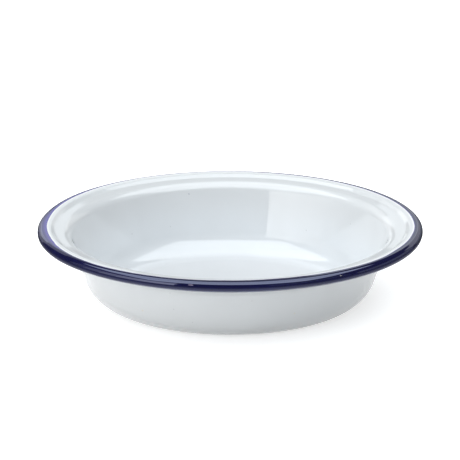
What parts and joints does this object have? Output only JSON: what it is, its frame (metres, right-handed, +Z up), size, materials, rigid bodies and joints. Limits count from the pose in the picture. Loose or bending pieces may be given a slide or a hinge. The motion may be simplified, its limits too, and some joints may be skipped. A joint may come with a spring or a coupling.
{
  "type": "pie plate",
  "caption": "Round enamelled steel pie plate with a flat floor, flared wall, stepped flange and rolled blue edge.",
  "frame": {"origin": "centre of the flat underside, on the plate's own axis", "axes": "+Z up along the plate's axis, out of the dish; X and Y lie in the plane of the underside"},
  "size_m": [0.24, 0.24, 0.0479],
  "materials": {
    "enamel": "glossy white vitreous enamel, dark blue on the rolled edge"
  },
  "bodies": {
    "root": {"pie_plate": "enamel"}
  },
  "joints": []
}
